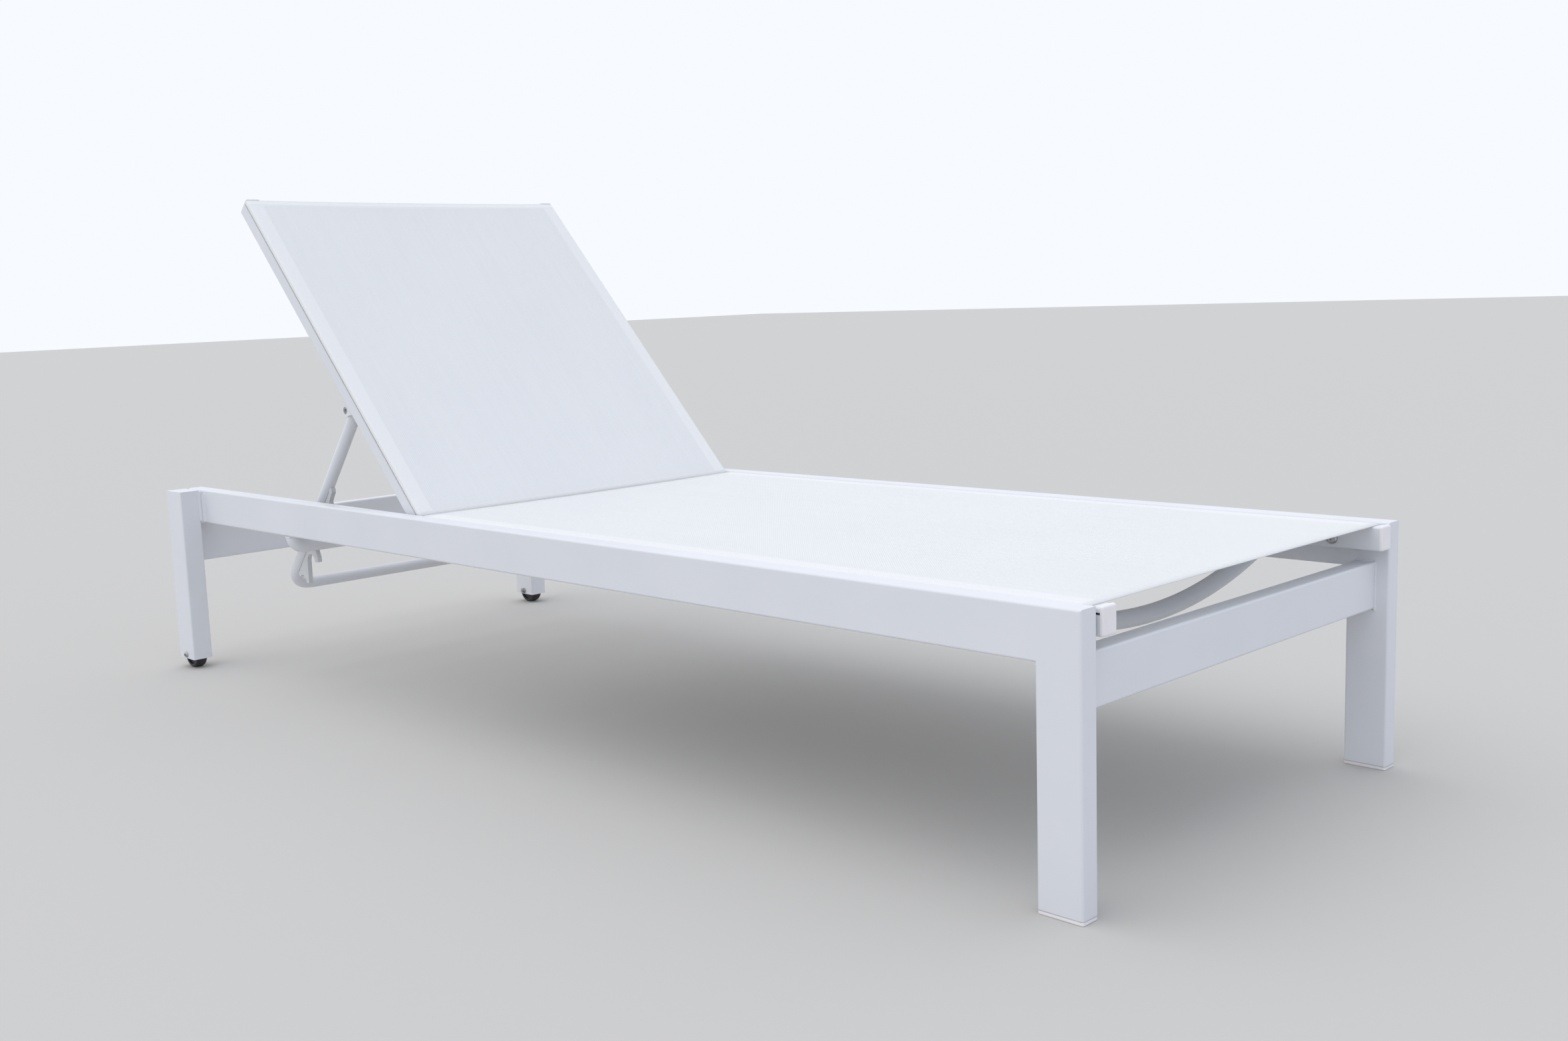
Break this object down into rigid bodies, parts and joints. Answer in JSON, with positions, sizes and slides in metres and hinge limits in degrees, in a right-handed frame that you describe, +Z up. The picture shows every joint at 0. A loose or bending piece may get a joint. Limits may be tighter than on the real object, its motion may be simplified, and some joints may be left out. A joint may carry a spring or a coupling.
{
  "type": "reclining sun lounger",
  "caption": "Low sling sun lounger on a box-tube frame: sling backrest held by a folding rack prop, square legs at the foot, legs with small wheels at the head.",
  "frame": {"origin": "on the floor, below the middle of the lounger's overall box", "axes": "+X towards the foot end, +Y to the far side, +Z up; symmetric about y = 0"},
  "size_m": [1.934, 0.806, 0.8304],
  "materials": {
    "white_aluminium": "satin white powder coat",
    "cast_aluminium": "light grey coated casting",
    "sling_fabric": "woven coated mesh, white",
    "white_plastic": "moulded, satin",
    "spline_plastic": "extruded, matte",
    "grey_nylon": "moulded, matte",
    "steel_fixings": "stainless",
    "wheel_plastic": "moulded black, matte"
  },
  "bodies": {
    "frame": {"side_rail_near": "white_aluminium", "side_rail_far": "white_aluminium", "side_rail_end_plugs": "white_plastic", "foot_leg_near": "white_aluminium", "foot_leg_far": "white_aluminium", "foot_corner_welds": "white_aluminium", "foot_glides": "white_plastic", "head_leg_near": "white_aluminium", "head_leg_far": "white_aluminium", "head_leg_weld_blocks": "white_aluminium", "foot_cross_rail": "white_aluminium", "head_cross_rail": "white_aluminium", "hook_rest_tube": "white_aluminium", "hook_rest_welds": "white_aluminium", "seat_rail_near": "white_aluminium", "seat_rail_far": "white_aluminium", "seat_rail_end_caps": "white_plastic", "seat_rail_spacers": "grey_nylon", "seat_rail_bolts": "steel_fixings", "seat_bow_foot": "white_aluminium", "seat_bow_middle": "white_aluminium", "seat_bow_head": "white_aluminium", "seat_sling": "sling_fabric", "seat_splines": "spline_plastic", "hinge_bolts": "steel_fixings", "hinge_spacers": "grey_nylon", "wheel_axle_bolts": "steel_fixings", "wheel_axle_nuts": "steel_fixings", "wheel_bushes": "grey_nylon"},
    "backrest": {"backrest_rail_near": "white_aluminium", "backrest_rail_far": "white_aluminium", "backrest_top_caps": "white_plastic", "backrest_hinge_caps": "white_plastic", "backrest_bow_upper": "white_aluminium", "backrest_bow_lower": "white_aluminium", "backrest_sling": "sling_fabric", "backrest_splines": "spline_plastic", "prop_lugs": "white_aluminium", "prop_bolts": "steel_fixings", "prop_nuts": "steel_fixings", "prop_washers": "grey_nylon"},
    "prop": {"prop_tube": "white_aluminium", "prop_end_plugs": "white_plastic", "rack_plate_near": "cast_aluminium", "rack_plate_far": "cast_aluminium"},
    "wheel_near": {"wheel_near": "wheel_plastic"},
    "wheel_far": {"wheel_far": "wheel_plastic"}
  },
  "joints": [
    {"name": "backrest_recline", "type": "hinge", "parent": "frame", "child": "backrest", "pos_m": [-0.257, 0, 0.3085], "axis": [0, 1, 0], "range_deg": [-46.8, 0]},
    {"name": "prop_fold", "type": "hinge", "parent": "backrest", "child": "prop", "pos_m": [-0.46087, 0, 0.47783], "axis": [0, 1, 0], "range_deg": [0, 97.2]},
    {"name": "wheel_near_spin", "type": "hinge", "parent": "frame", "child": "wheel_near", "pos_m": [-0.939, -0.381, 0.025], "axis": [0, 1, 0], "continuous": true},
    {"name": "wheel_far_spin", "type": "hinge", "parent": "frame", "child": "wheel_far", "pos_m": [-0.939, 0.381, 0.025], "axis": [0, 1, 0], "continuous": true}
  ],
  "couplings": [
    {"joint": "prop_fold", "follows": "backrest_recline", "ratio": -2.0769}
  ]
}
